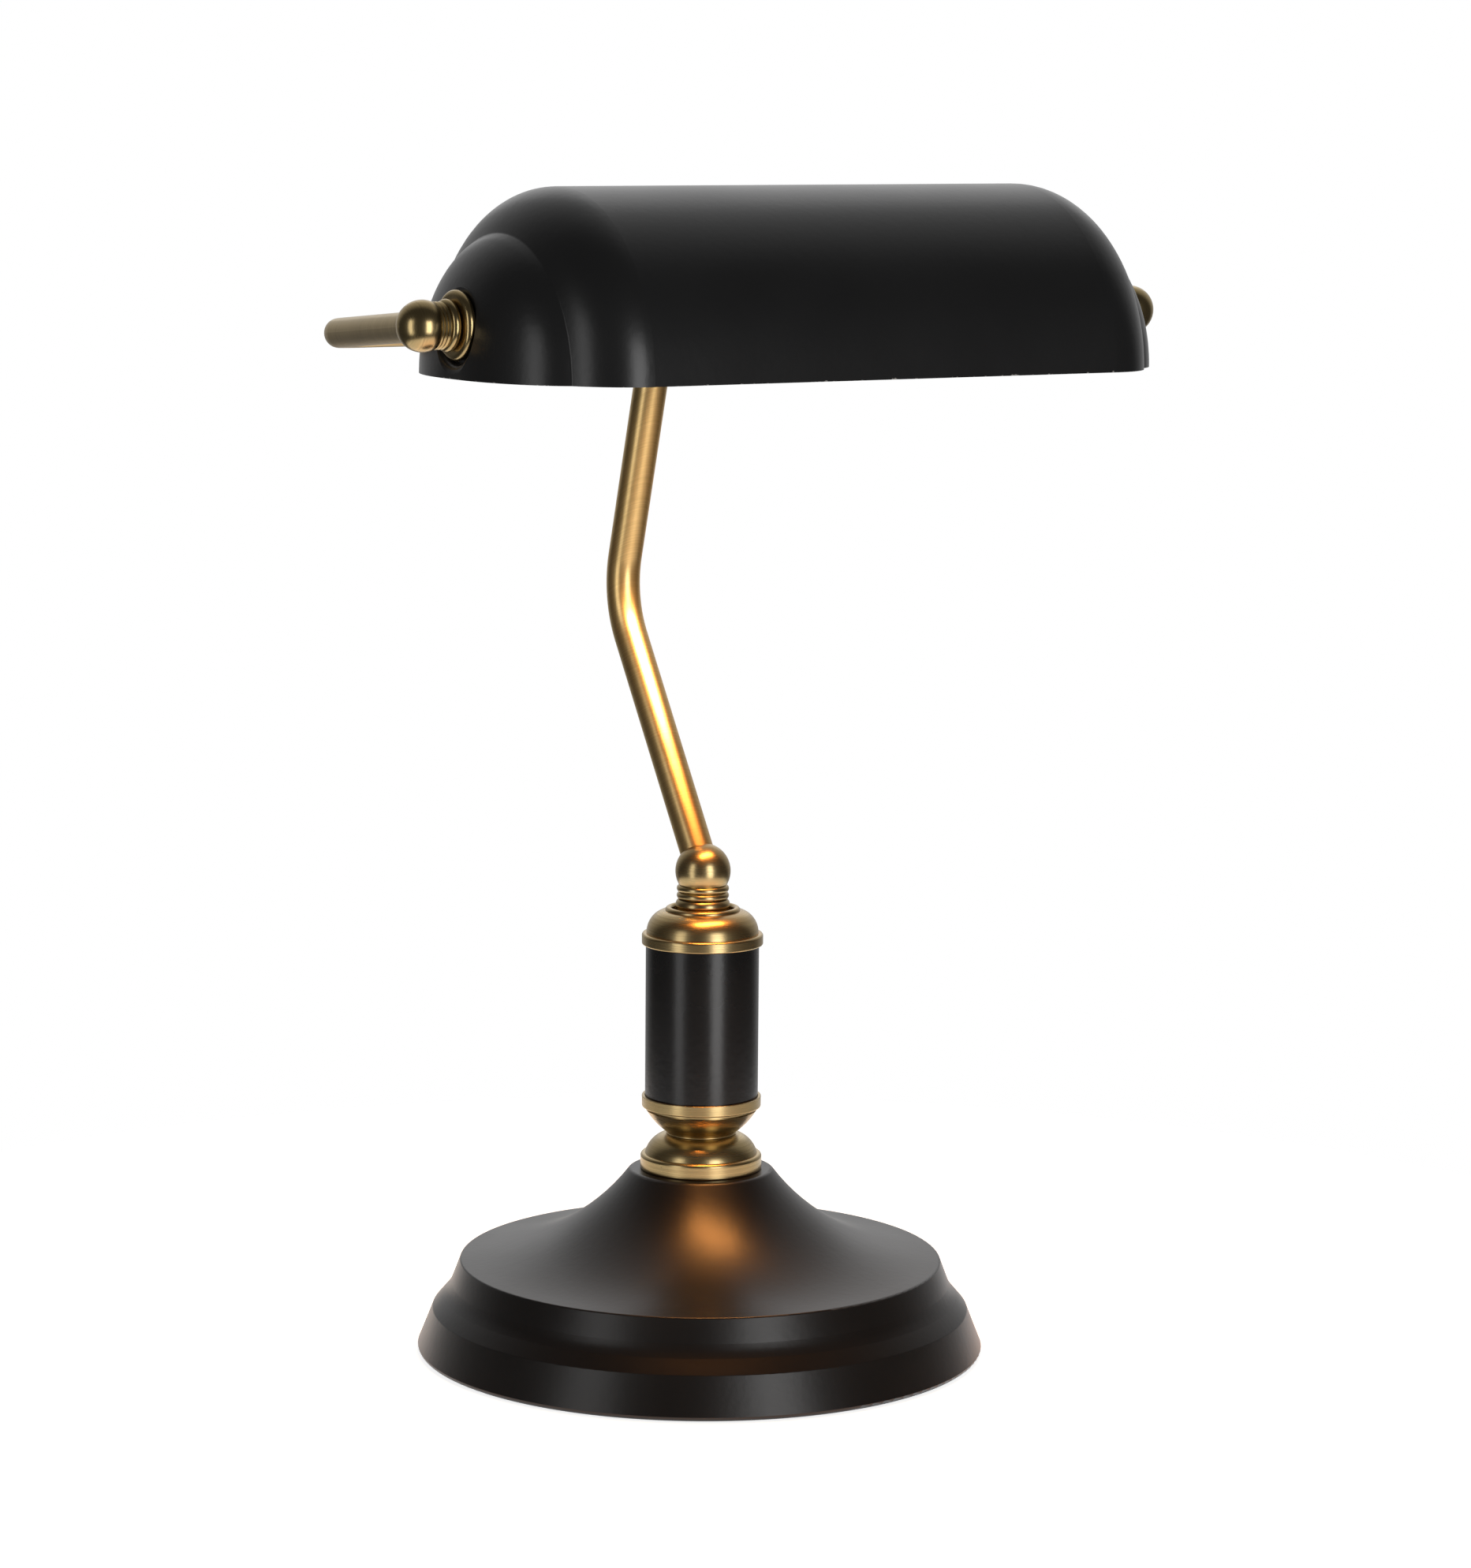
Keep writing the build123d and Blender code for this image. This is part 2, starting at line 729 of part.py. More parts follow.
def pivot_nipple():
    """Hollow screwed tube that the shade turns on."""
    return pivot_ring(nipple_r, nipple_bore_r, nipple_inner_x, nipple_outer_x - nipple_inner_x)


def round_edged_ring(outer_r, inner_r, x, length):
    """A ring about the right pivot with a round outer edge."""
    edge_r = outer_r - length / 2
    far_x = x + length
    return pivot_turned(
        Polyline((x, edge_r), (x, inner_r), (far_x, inner_r), (far_x, edge_r)),
        ThreePointArc((far_x, edge_r), (x + length / 2, outer_r), (x, edge_r)),
    )


def pivot_collar():
    """Ring on the nipple between the ball's neck and the shade's flange."""
    return round_edged_ring(pivot_collar_r, nipple_r + BORE_FIT, pivot_collar_x, pivot_collar_t)


def pivot_flange():
    """Round-rimmed disc on the outside of the shade's end."""
    return round_edged_ring(flange_r, nipple_r + RUN_FIT, pad_x, flange_t)


def inner_washer():
    """Washer against the inside of the shade's end."""
    return pivot_ring(inner_washer_r, nipple_r + RUN_FIT, inner_washer_x, inner_washer_t)


def spring_washer():
    """Washer whose pressure holds the shade where it is put."""
    return pivot_ring(spring_washer_r, nipple_r + BORE_FIT, spring_washer_x, spring_washer_t)


def pivot_nut():
    """Lock nut on the nipple, inside the shade."""
    section = hexagon(pivot_nut_af) - Circle(nipple_r + BORE_FIT)
    return extrude(pivot_plane(holder_cap_x) * section, amount=pivot_nut_t)


# ---- Shade ------------------------------------------------------------------


def shade_end(start_x, length, radius, depth):
    """Half outline, over the shade's own axis, of a plain length with a rounded end."""
    return make_face(
        Curve()
        + [
            Polyline((start_x + length, 0), (0, 0), (0, radius), (start_x, radius)),
            EllipticalCenterArc((start_x, radius - depth), length, depth, 0, arc_size=90),
            Line((start_x + length, radius - depth), (start_x + length, 0)),
        ]
    )


def shade_section(inset):
    """Half outline of the shade: cylinder and shoulder, with the smaller end dome."""
    body = shade_end(
        shade_straight_x, shade_round_len - inset, shade_r - inset, shade_round_depth - inset
    )
    dome = shade_end(
        shade_dome_x, shade_dome_len - inset, shade_dome_r - inset, shade_dome_depth - inset
    )
    section = body + dome
    crease = [corner for corner in section.vertices() if corner.X > shade_dome_x and corner.Y > pad_r]
    return fillet(crease, shade_crease_round + inset)


def shade_form(inset):
    """Half of a turned body, open face down, drawn in all round by a distance."""
    half = shade_section(inset)
    outline = half + mirror(half, about=Plane.YZ)
    lying = Plane(origin=(0, pivot_y, shade_axis_z), x_dir=(1, 0, 0), z_dir=(0, 0, 1))
    axis = Axis((0, pivot_y, shade_axis_z), (1, 0, 0))
    form = revolve(lying * outline, axis=axis, revolution_arc=180)
    for pad in (pad_block(inset), mirror(pad_block(inset), about=Plane.YZ)):
        form += pad
    for space in (pad_space(inset), mirror(pad_space(inset), about=Plane.YZ)):
        form -= space
    return form


def pad_block(inset):
    """Solid under the flat seat of the right pivot."""
    return pivot_disc(pad_r - inset, pad_x - inset - pad_depth, pad_depth)


def pad_space(inset):
    """Clear space outside the flat seat of the right pivot, with a rounded rim."""
    rim_in_r = pad_r + pad_sink
    far_x = pad_x + pad_depth
    rim = Curve() + [
        CenterArc((pad_x, rim_in_r), pad_sink - inset, 270, 90),
        Polyline(
            (shade_end_x - inset, rim_in_r),
            (far_x, rim_in_r),
            (far_x, 0),
            (pad_x, 0),
            (pad_x, pad_r + inset),
        ),
    ]
    lying = Plane(origin=(0, pivot_y, pivot_z), x_dir=(1, 0, 0), z_dir=(0, -1, 0))
    dish = revolve(lying * make_face(rim), axis=Axis((0, pivot_y, pivot_z), (1, 0, 0)))
    return dish + pivot_disc(pad_r + inset, pad_x - inset, pad_depth)


def shade_shell():
    """Pressed steel shade with a hole for each nipple."""
    shell = shade_form(0) - shade_form(shade_wall)
    hole = pivot_disc(nipple_r + RUN_FIT, pad_x - pad_depth, 2 * pad_depth)
    return shell - hole - mirror(hole, about=Plane.YZ)


# ---- Lampholder and bulb, drawn on the right pivot and mirrored ------------------


def holder_cap():
    """Bell-shaped cap of the lampholder, screwed on the nipple."""
    bore_r = nipple_r + BORE_FIT
    skirt_x = holder_top_x + holder_cap_skirt
    inside_r = holder_r - holder_wall
    return pivot_turned(
        Polyline((nipple_inner_x, bore_r), (holder_cap_x, bore_r), (holder_cap_x, holder_neck_r)),
        EllipticalCenterArc(
            (skirt_x, holder_neck_r), holder_cap_x - skirt_x, holder_r - holder_neck_r
        ),
        Polyline(
            (skirt_x, holder_r),
            (holder_top_x, holder_r),
            (holder_top_x, inside_r),
            (skirt_x, inside_r),
            (nipple_inner_x, holder_neck_r),
            (nipple_inner_x, bore_r),
        ),
    )


def holder_body():
    """Lampholder body: a cup whose floor carries the contacts."""
    inside_r = holder_r - holder_wall
    body = pivot_disc(holder_r, holder_top_x - holder_len, holder_len)
    body -= pivot_disc(inside_r, holder_top_x - holder_len, holder_len - holder_floor_t)
    for side in (-1, 1):
        hole = pivot_disc(wire_hole_r, holder_floor_x, holder_floor_t)
        body -= Pos(0, 0, side * wire_hole_x) * hole
    return body


def screw_sleeve():
    """Brass sleeve that the bulb screws into."""
    outer_r = holder_r - holder_wall - sleeve_gap
    sleeve_end_x = holder_floor_x - sleeve_drop
    return pivot_ring(outer_r, outer_r - sleeve_wall, sleeve_end_x - sleeve_len, sleeve_len)


def centre_contact():
    """Sprung strip on the lampholder's floor."""
    place = Pos(holder_floor_x - contact_t / 2, pivot_y, pivot_z)
    return place * Box(contact_t, contact_width, contact_len)


def bulb_tip():
    """Insulated foot of the bulb with its centre contact."""
    return pivot_turned(*loop(
        (bulb_foot_x, 0),
        (bulb_foot_x, bulb_foot_r),
        (bulb_tip_x, bulb_tip_r),
        (bulb_tip_x, 0),
    ))


def bulb_cap():
    """Screw cap of the bulb."""
    return pivot_disc(bulb_cap_r, bulb_glass_x, bulb_cap_len)


def bulb_outline(inset):
    """Outline of the bulb's tube from its neck to its round tip."""
    radius = bulb_r - inset
    neck_r = bulb_neck_r - inset
    shoulder_x = bulb_glass_x - bulb_neck_len
    round_x = bulb_glass_x - bulb_len + bulb_r
    return [
        Spline((bulb_glass_x, neck_r), (shoulder_x, radius), tangents=((-1, 0), (-1, 0))),
        Line((shoulder_x, radius), (round_x, radius)),
        CenterArc((round_x, 0), radius, 90, 90),
    ]


def bulb_glass():
    """Tubular glass of the bulb, open at its neck."""
    solid = pivot_turned(*bulb_outline(0), *bulb_closing(0))
    return solid - pivot_turned(*bulb_outline(bulb_wall), *bulb_closing(bulb_wall))


def bulb_closing(inset):
    """Straight lines that close the bulb's outline along its axis."""
    tip = (bulb_glass_x - bulb_len + inset, 0)
    return [Polyline(tip, (bulb_glass_x, 0), (bulb_glass_x, bulb_neck_r - inset))]


# ---- Files --------------------------------------------------------------------


os.makedirs("parts", exist_ok=True)

save("felt_pad", disc(felt_r, 0, felt_t))
save("base_cover", base_cover())
save("cover_screws", cover_screws())
save("base_weight", base_weight())
save("earth_screw", earth_screw())
save("base_shell", base_shell())
save("cable_bush", cable_bush())
save("rod_washer", ring(nut_washer_r, rod_r + SLIP, nut_recess_top_z - nut_washer_t, nut_washer_t))
save("rod_nut", rod_nut())
save("base_spacer", ring(spacer_r, rod_r + SLIP, weight_top_z, neck_z - base_wall - weight_top_z))
save("column_rod", ring(rod_r, rod_bore_r, rod_bottom_z, rod_top_z - rod_bottom_z))
save("column_foot", column_foot())
save("column_cup", column_cup())
save("column_tube", ring(tube_r, tube_r - tube_wall, tube_z, tube_len))
save("column_cap", column_cap())
save("swivel_base", swivel_base())
save("swivel_ball", swivel_ball())
save("swivel_clip", swivel_clip())
save("stem_tube", stem_tube())
save("bow_hub", bow_hub())
save_pair("bow_tube", bow_tube())
save_pair("end_ball", end_ball())
save_pair("pivot_collar", pivot_collar())
save_pair("pivot_nipple", pivot_nipple())
save_pair("pivot_flange", pivot_flange())
save_pair("inner_washer", inner_washer())
save_pair("spring_washer", spring_washer())
save_pair("pivot_nut", pivot_nut())
save("shade_shell", shade_shell())
save("holder_cap", mirror(holder_cap(), about=Plane.YZ))
save("holder_body", mirror(holder_body(), about=Plane.YZ))
save("screw_sleeve", mirror(screw_sleeve(), about=Plane.YZ))
save("centre_contact", mirror(centre_contact(), about=Plane.YZ))
save("bulb_tip", mirror(bulb_tip(), about=Plane.YZ))
save("bulb_cap", mirror(bulb_cap(), about=Plane.YZ))
save("bulb_glass", mirror(bulb_glass(), about=Plane.YZ))
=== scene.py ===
from math import cos, pi, radians, sin

import bpy
from mathutils import Matrix, Vector


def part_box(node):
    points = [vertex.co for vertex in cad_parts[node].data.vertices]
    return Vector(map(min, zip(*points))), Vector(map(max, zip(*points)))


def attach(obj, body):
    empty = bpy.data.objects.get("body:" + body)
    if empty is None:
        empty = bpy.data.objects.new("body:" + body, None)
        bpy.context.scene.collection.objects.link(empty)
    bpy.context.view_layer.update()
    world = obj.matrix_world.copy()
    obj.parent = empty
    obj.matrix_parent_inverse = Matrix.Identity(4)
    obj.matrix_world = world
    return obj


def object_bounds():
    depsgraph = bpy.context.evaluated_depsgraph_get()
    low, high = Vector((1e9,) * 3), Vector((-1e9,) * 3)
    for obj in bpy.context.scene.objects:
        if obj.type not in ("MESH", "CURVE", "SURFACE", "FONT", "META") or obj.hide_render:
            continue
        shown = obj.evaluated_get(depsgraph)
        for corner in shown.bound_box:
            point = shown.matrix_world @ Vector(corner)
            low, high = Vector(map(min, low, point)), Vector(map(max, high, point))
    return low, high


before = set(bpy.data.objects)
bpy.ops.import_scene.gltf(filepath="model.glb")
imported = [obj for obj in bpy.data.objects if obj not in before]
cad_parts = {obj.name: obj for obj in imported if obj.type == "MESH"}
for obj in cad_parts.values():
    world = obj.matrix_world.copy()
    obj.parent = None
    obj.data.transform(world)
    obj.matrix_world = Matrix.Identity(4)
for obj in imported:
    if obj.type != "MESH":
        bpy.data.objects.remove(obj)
solid_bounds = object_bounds()

# ---- Camera ---------------------------------------------------------------------------
# A long lens that stands to the lamp's left front, a little above it, and looks down at
# the middle of the stem. It is turned slightly about its own line of sight.

look_azimuth = radians(32.0)
look_down = radians(8.46)
look_roll = radians(0.48)
look_distance = 1.678
look_at = Vector((0.0095, -0.0059, 0.2027))

sight = Vector((
    sin(look_azimuth) * cos(look_down),
    cos(look_azimuth) * cos(look_down),
    -sin(look_down),
))
camera_data = bpy.data.cameras.new("camera")
camera_data.lens = 109.74
camera_data.sensor_width = 36.0
camera_data.clip_end = 50.0
camera = bpy.data.objects.new("camera", camera_data)
bpy.context.scene.collection.objects.link(camera)
camera.rotation_mode = "QUATERNION"
level = sight.to_track_quat("-Z", "Y").to_matrix()
camera.rotation_quaternion = (level @ Matrix.Rotation(look_roll, 3, "Z")).to_quaternion()
camera.location = look_at - sight * look_distance
bpy.context.scene.camera = camera

# ---- Studio ---------------------------------------------------------------------------
# A round white table in a white room that is lit mostly from behind the lamp. The camera's
# side is dim, with two tall soft boxes, so that metal shows both light and dark.

scene = bpy.context.scene
scene.view_settings.view_transform = "Standard"


def add_node(tree, kind, values=None, operation=None):
    """A shader node with its operation, where it has one, and its sockets' values."""
    node = tree.nodes.new("ShaderNode" + kind)
    if operation is not None:
        node.operation = operation
    if values is not None:
        for socket, value in values.items():
            node.inputs[socket].default_value = value
    return node


def join(tree, *links):
    """Joins the output of each link to its input."""
    for start, end in links:
        tree.links.new(start, end)


table_radius = 0.42
table_gap = 0.0002

bpy.ops.object.select_all(action="DESELECT")
bpy.ops.mesh.primitive_circle_add(
    vertices=96,
    radius=table_radius,
    fill_type="NGON",
    location=(0, 0, solid_bounds[0].z - table_gap),
)
table_top = bpy.context.object
table_top.name = "table_top"

# The paint is white to the camera, through glass and in metal, but lights nothing by itself.
# From below it is clear.
table_paint = bpy.data.materials.new("table_paint")
table_paint.use_nodes = True
tree = table_paint.node_tree
tree.nodes.clear()
output = add_node(tree, "OutputMaterial")
paint = add_node(tree, "BsdfPrincipled", {
    "Base Color": (0.80, 0.80, 0.80, 1),
    "Roughness": 0.6,
    "Specular IOR Level": 0.1,
})
white = add_node(tree, "Emission", {"Color": (1, 1, 1, 1), "Strength": 0.80})
whitened = add_node(tree, "AddShader")
seen = add_node(tree, "MixShader")
path = add_node(tree, "LightPath")
looked_through = add_node(tree, "Math", operation="MAXIMUM")
shows_white = add_node(tree, "Math", operation="MAXIMUM")
below = add_node(tree, "NewGeometry")
clear = add_node(tree, "BsdfTransparent")
one_sided = add_node(tree, "MixShader")
join(
    tree,
    (paint.outputs["BSDF"], whitened.inputs[0]),
    (white.outputs["Emission"], whitened.inputs[1]),
    (path.outputs["Is Camera Ray"], looked_through.inputs[0]),
    (path.outputs["Is Transmission Ray"], looked_through.inputs[1]),
    (looked_through.outputs[0], shows_white.inputs[0]),
    (path.outputs["Is Glossy Ray"], shows_white.inputs[1]),
    (shows_white.outputs[0], seen.inputs["Fac"]),
    (paint.outputs["BSDF"], seen.inputs[1]),
    (whitened.outputs["Shader"], seen.inputs[2]),
    (below.outputs["Backfacing"], one_sided.inputs["Fac"]),
    (seen.outputs["Shader"], one_sided.inputs[1]),
    (clear.outputs["BSDF"], one_sided.inputs[2]),
    (one_sided.outputs["Shader"], output.inputs["Surface"]),
)
table_top.data.materials.append(table_paint)

# The backdrop is a round part of the room, straight across from the camera and above it.
# The room's light grows towards its middle. The camera and glass see the room white, and
# metal sees the backdrop white. Limits are cosines of the angle from the middle.
backdrop_rise = radians(25.0)
backdrop_limit = 0.93
backdrop = Vector((
    sin(look_azimuth) * cos(backdrop_rise),
    cos(look_azimuth) * cos(backdrop_rise),
    sin(backdrop_rise),
))
world = bpy.data.worlds.new("room")
scene.world = world
world.use_nodes = True
tree = world.node_tree
tree.nodes.clear()
output = add_node(tree, "OutputWorld")
room = add_node(tree, "Background", {"Color": (1, 1, 1, 1)})
direction = add_node(tree, "TexCoord")
towards_backdrop = add_node(tree, "VectorMath", {1: backdrop}, "DOT_PRODUCT")
room_light = add_node(tree, "MapRange", {
    "From Min": 0.38,
    "From Max": 0.95,
    "To Min": 0.05,
    "To Max": 0.66,
})
in_backdrop = add_node(tree, "Math", {1: backdrop_limit}, "GREATER_THAN")
path = add_node(tree, "LightPath")
mirrored = add_node(tree, "Math", operation="MULTIPLY")
looked_through = add_node(tree, "Math", operation="MAXIMUM")
shows_white = add_node(tree, "Math", operation="MAXIMUM")
strength = add_node(tree, "Mix", {"B": 1.0})
join(
    tree,
    (direction.outputs["Generated"], towards_backdrop.inputs[0]),
    (towards_backdrop.outputs["Value"], room_light.inputs["Value"]),
    (towards_backdrop.outputs["Value"], in_backdrop.inputs[0]),
    (in_backdrop.outputs[0], mirrored.inputs[0]),
    (path.outputs["Is Glossy Ray"], mirrored.inputs[1]),
    (path.outputs["Is Camera Ray"], looked_through.inputs[0]),
    (path.outputs["Is Transmission Ray"], looked_through.inputs[1]),
    (mirrored.outputs[0], shows_white.inputs[0]),
    (looked_through.outputs[0], shows_white.inputs[1]),
    (shows_white.outputs[0], strength.inputs["Factor"]),
    (room_light.outputs["Result"], strength.inputs["A"]),
    (strength.outputs["Result"], room.inputs["Strength"]),
    (room.outputs["Background"], output.inputs["Surface"]),
)


def light_panel(name, place, aim, width, height, radiance, colour=(1, 1, 1), spread=pi):
    """A flat light that lights one way and isn't seen itself. Returns its object."""
    panel = bpy.data.lights.new(name, "AREA")
    panel.shape = "RECTANGLE"
    panel.size = width
    panel.size_y = height
    panel.color = colour
    panel.spread = spread
    panel.energy = radiance * pi * width * height
    holder = bpy.data.objects.new(name, panel)
    holder.location = place
    holder.rotation_mode = "QUATERNION"
    holder.rotation_quaternion = aim.to_track_quat("-Z", "Y")
    holder.visible_camera = False
    scene.collection.objects.link(holder)
    return holder


soft_box_bottom = -0.35
soft_box_top = 0.92
soft_box_height = soft_box_top - soft_box_bottom
soft_box_middle = (soft_box_bottom + soft_box_top) / 2
for side, azimuth, distance, width, radiance in (
    ("left", 46, 1.30, 0.40, 2.0),
    ("right", -31, 1.45, 0.56, 4.2),
):
    turn = look_azimuth + pi + radians(azimuth)
    place = Vector((sin(turn) * distance, cos(turn) * distance, soft_box_middle))
    aim = Vector((-place.x, -place.y, 0))
    light_panel(side + "_soft_box", place, aim, width, soft_box_height, radiance)

# ---- Base shell and column tube ---------------------------------------------------------
# Spun and rolled steel with a satin black powder coat, baked on. The coat has a very fine
# grain over a faint orange peel, and its gloss is a little uneven.


def add_socket(group, name, kind, way, value=None):
    """A named input or output of a node group."""
    socket = group.interface.new_socket(name=name, in_out=way, socket_type=kind)
    if value is not None:
        socket.default_value = value


def add_colour_mix(tree, first=None, second=None):
    """A mix of two colours, which are plain ones where they are given."""
    mix = add_node(tree, "Mix")
    mix.data_type = "RGBA"
    if first is not None:
        mix.inputs["A"].default_value = first
    if second is not None:
        mix.inputs["B"].default_value = second
    return mix


def plain_material(name, roughness, metallic=0.0):
    """A material with object coordinates. Returns it, its nodes, its shader and its place."""
    material = bpy.data.materials.new(name)
    material.use_nodes = True
    tree = material.node_tree
    shader = tree.nodes["Principled BSDF"]
    shader.inputs["Roughness"].default_value = roughness
    shader.inputs["Metallic"].default_value = metallic
    where = add_node(tree, "TexCoord")
    return material, tree, shader, where


def dress(material, *names):
    """Gives CAD nodes one material."""
    for name in names:
        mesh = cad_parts[name].data
        mesh.materials.clear()
        mesh.materials.append(material)


gloss_range = 0.08
grain_share = 0.35
grain = bpy.data.node_groups.new("powder_grain", "ShaderNodeTree")
add_socket(grain, "Position", "NodeSocketVector", "INPUT")
add_socket(grain, "Roughness", "NodeSocketFloat", "INPUT", 0.4)
add_socket(grain, "Height", "NodeSocketFloat", "OUTPUT")
add_socket(grain, "Roughness", "NodeSocketFloat", "OUTPUT")
add_socket(grain, "Cloud", "NodeSocketFloat", "OUTPUT")
inside = grain.nodes.new("NodeGroupInput")
outside = grain.nodes.new("NodeGroupOutput")
fine = add_node(grain, "TexNoise", {"Scale": 2400.0, "Detail": 2.0})
peel = add_node(grain, "TexNoise", {"Scale": 420.0, "Detail": 1.0})
cloud = add_node(grain, "TexNoise", {"Scale": 26.0, "Detail": 4.0})
duller = add_node(grain, "Math", {1: gloss_range}, "MULTIPLY_ADD")
centred = add_node(grain, "Math", {1: gloss_range / 2}, "SUBTRACT")
height = add_node(grain, "Math", {1: grain_share}, "MULTIPLY_ADD")
join(
    grain,
    (inside.outputs["Position"], fine.inputs["Vector"]),
    (inside.outputs["Position"], peel.inputs["Vector"]),
    (inside.outputs["Position"], cloud.inputs["Vector"]),
    (cloud.outputs["Fac"], duller.inputs[0]),
    (inside.outputs["Roughness"], duller.inputs[2]),
    (duller.outputs[0], centred.inputs[0]),
    (centred.outputs[0], outside.inputs["Roughness"]),
    (fine.outputs["Fac"], height.inputs[0]),
    (peel.outputs["Fac"], height.inputs[2]),
    (height.outputs[0], outside.inputs["Height"]),
    (cloud.outputs["Fac"], outside.inputs["Cloud"]),
)


def powder_coat(name, dark, light, roughness):
    """A satin coat. Returns its material, nodes, shader, place and colour."""
    material, tree, shader, where = plain_material(name, roughness)
    shader.inputs["Specular IOR Level"].default_value = 0.44
    powder = add_node(tree, "Group")
    powder.node_tree = grain
    powder.inputs["Roughness"].default_value = roughness
    colour = add_colour_mix(tree, dark, light)
    relief = add_node(tree, "Bump", {"Strength": 0.28, "Distance": 0.0001})
    join(
        tree,
        (where.outputs["Object"], powder.inputs["Position"]),
        (powder.outputs["Roughness"], shader.inputs["Roughness"]),
        (powder.outputs["Cloud"], colour.inputs["Factor"]),
        (colour.outputs["Result"], shader.inputs["Base Color"]),
        (powder.outputs["Height"], relief.inputs["Height"]),
        (relief.outputs["Normal"], shader.inputs["Normal"]),
    )
    return material, tree, shader, where, colour


coat_black = (0.0026, 0.0026, 0.0026, 1)
coat_cloud = (0.0052, 0.0051, 0.0050, 1)
dress(powder_coat("base_coat", coat_black, coat_cloud, roughness=0.34)[0], "base_shell")
dress(powder_coat("tube_coat", coat_black, coat_cloud, roughness=0.27)[0], "column_tube")

# ---- Ballast, bottom plate and felt -----------------------------------------------------
# A rough cast-iron disc gives the lamp its weight. A zinc-plated plate closes the base
# under it, held by three screws, and a felt disc glued to the plate spares the table.


def mottle(tree, where, shader, colours, scale, low, high, depth, strength, detail=4.0):
    """Colour and relief from one noise, which it returns."""
    noise = add_node(tree, "TexNoise", {"Scale": scale, "Detail": detail})
    mask = add_node(tree, "MapRange", {"From Min": low, "From Max": high})
    colour = add_colour_mix(tree, *colours)
    relief = add_node(tree, "Bump", {"Strength": strength, "Distance": depth})
    join(
        tree,
        (where.outputs["Object"], noise.inputs["Vector"]),
        (noise.outputs["Fac"], mask.inputs["Value"]),
        (mask.outputs["Result"], colour.inputs["Factor"]),
        (colour.outputs["Result"], shader.inputs["Base Color"]),
        (noise.outputs["Fac"], relief.inputs["Height"]),
        (relief.outputs["Normal"], shader.inputs["Normal"]),
    )
    return noise


cast_iron, tree, shader, where = plain_material(
    "cast_iron", roughness=0.75, metallic=0.4
)
iron_colours = ((0.030, 0.029, 0.028, 1), (0.085, 0.060, 0.042, 1))
mottle(
    tree, where, shader, iron_colours,
    scale=260.0, low=0.42, high=0.75, depth=0.0008, strength=0.8, detail=6.0,
)
dress(cast_iron, "base_weight")

felt, tree, shader, where = plain_material("black_felt", roughness=0.95)
shader.inputs["Sheen Weight"].default_value = 0.5
shader.inputs["Sheen Roughness"].default_value = 0.6
felt_colours = ((0.010, 0.011, 0.010, 1), (0.045, 0.047, 0.044, 1))
fibres = mottle(
    tree, where, shader, felt_colours,
    scale=900.0, low=0.3, high=0.75, depth=0.0006, strength=0.9, detail=5.0,
)
fibres.inputs["Distortion"].default_value = 2.5
dress(felt, "felt_pad")

# Brush lines lie across the way that a piece was turned or drawn. Dark stains stay in
# clouds, lines and small pits, and the gloss changes from line to line.
lines_per_metre = 3600.0
finish_range = 0.13
brushed = bpy.data.node_groups.new("brushed_metal", "ShaderNodeTree")
add_socket(brushed, "Position", "NodeSocketVector", "INPUT")
add_socket(brushed, "Along", "NodeSocketFloat", "INPUT")
add_socket(brushed, "Bright", "NodeSocketColor", "INPUT", (0.5, 0.5, 0.5, 1))
add_socket(brushed, "Dark", "NodeSocketColor", "INPUT", (0.2, 0.2, 0.2, 1))
add_socket(brushed, "Stain", "NodeSocketFloat", "INPUT", 0.4)
add_socket(brushed, "Finish", "NodeSocketFloat", "INPUT", 0.19)
add_socket(brushed, "Colour", "NodeSocketColor", "OUTPUT")
add_socket(brushed, "Roughness", "NodeSocketFloat", "OUTPUT")
add_socket(brushed, "Height", "NodeSocketFloat", "OUTPUT")
inside = brushed.nodes.new("NodeGroupInput")
outside = brushed.nodes.new("NodeGroupOutput")
line_place = add_node(brushed, "VectorMath", {"Scale": 22.0}, "SCALE")
line_count = add_node(brushed, "Math", {1: lines_per_metre}, "MULTIPLY")
lines = add_node(brushed, "TexNoise", {"Scale": 1.0, "Detail": 3.0, "Roughness": 0.65})
lines.noise_dimensions = "4D"
line_shade = add_node(brushed, "MapRange", {
    "From Min": 0.32,
    "From Max": 0.72,
    "To Max": 0.50,
})
clouds = add_node(brushed, "TexNoise", {"Scale": 60.0, "Detail": 2.0})
cloud_shade = add_node(brushed, "MapRange", {"From Min": 0.42, "From Max": 0.78})
darkness = add_node(brushed, "Math", operation="MULTIPLY_ADD")
pits = add_node(brushed, "TexVoronoi", {"Scale": 110.0})
pit_shade = add_node(brushed, "MapRange", {
    "From Min": 0.01,
    "From Max": 0.04,
    "To Min": 1.0,
    "To Max": 0.0,
})
darkest = add_node(brushed, "Math", operation="MAXIMUM")
darkest.use_clamp = True
tint = add_colour_mix(brushed)
gloss = add_node(brushed, "MapRange")
dullest = add_node(brushed, "Math", {1: finish_range}, "ADD")
deep = add_node(brushed, "Math", operation="SUBTRACT")
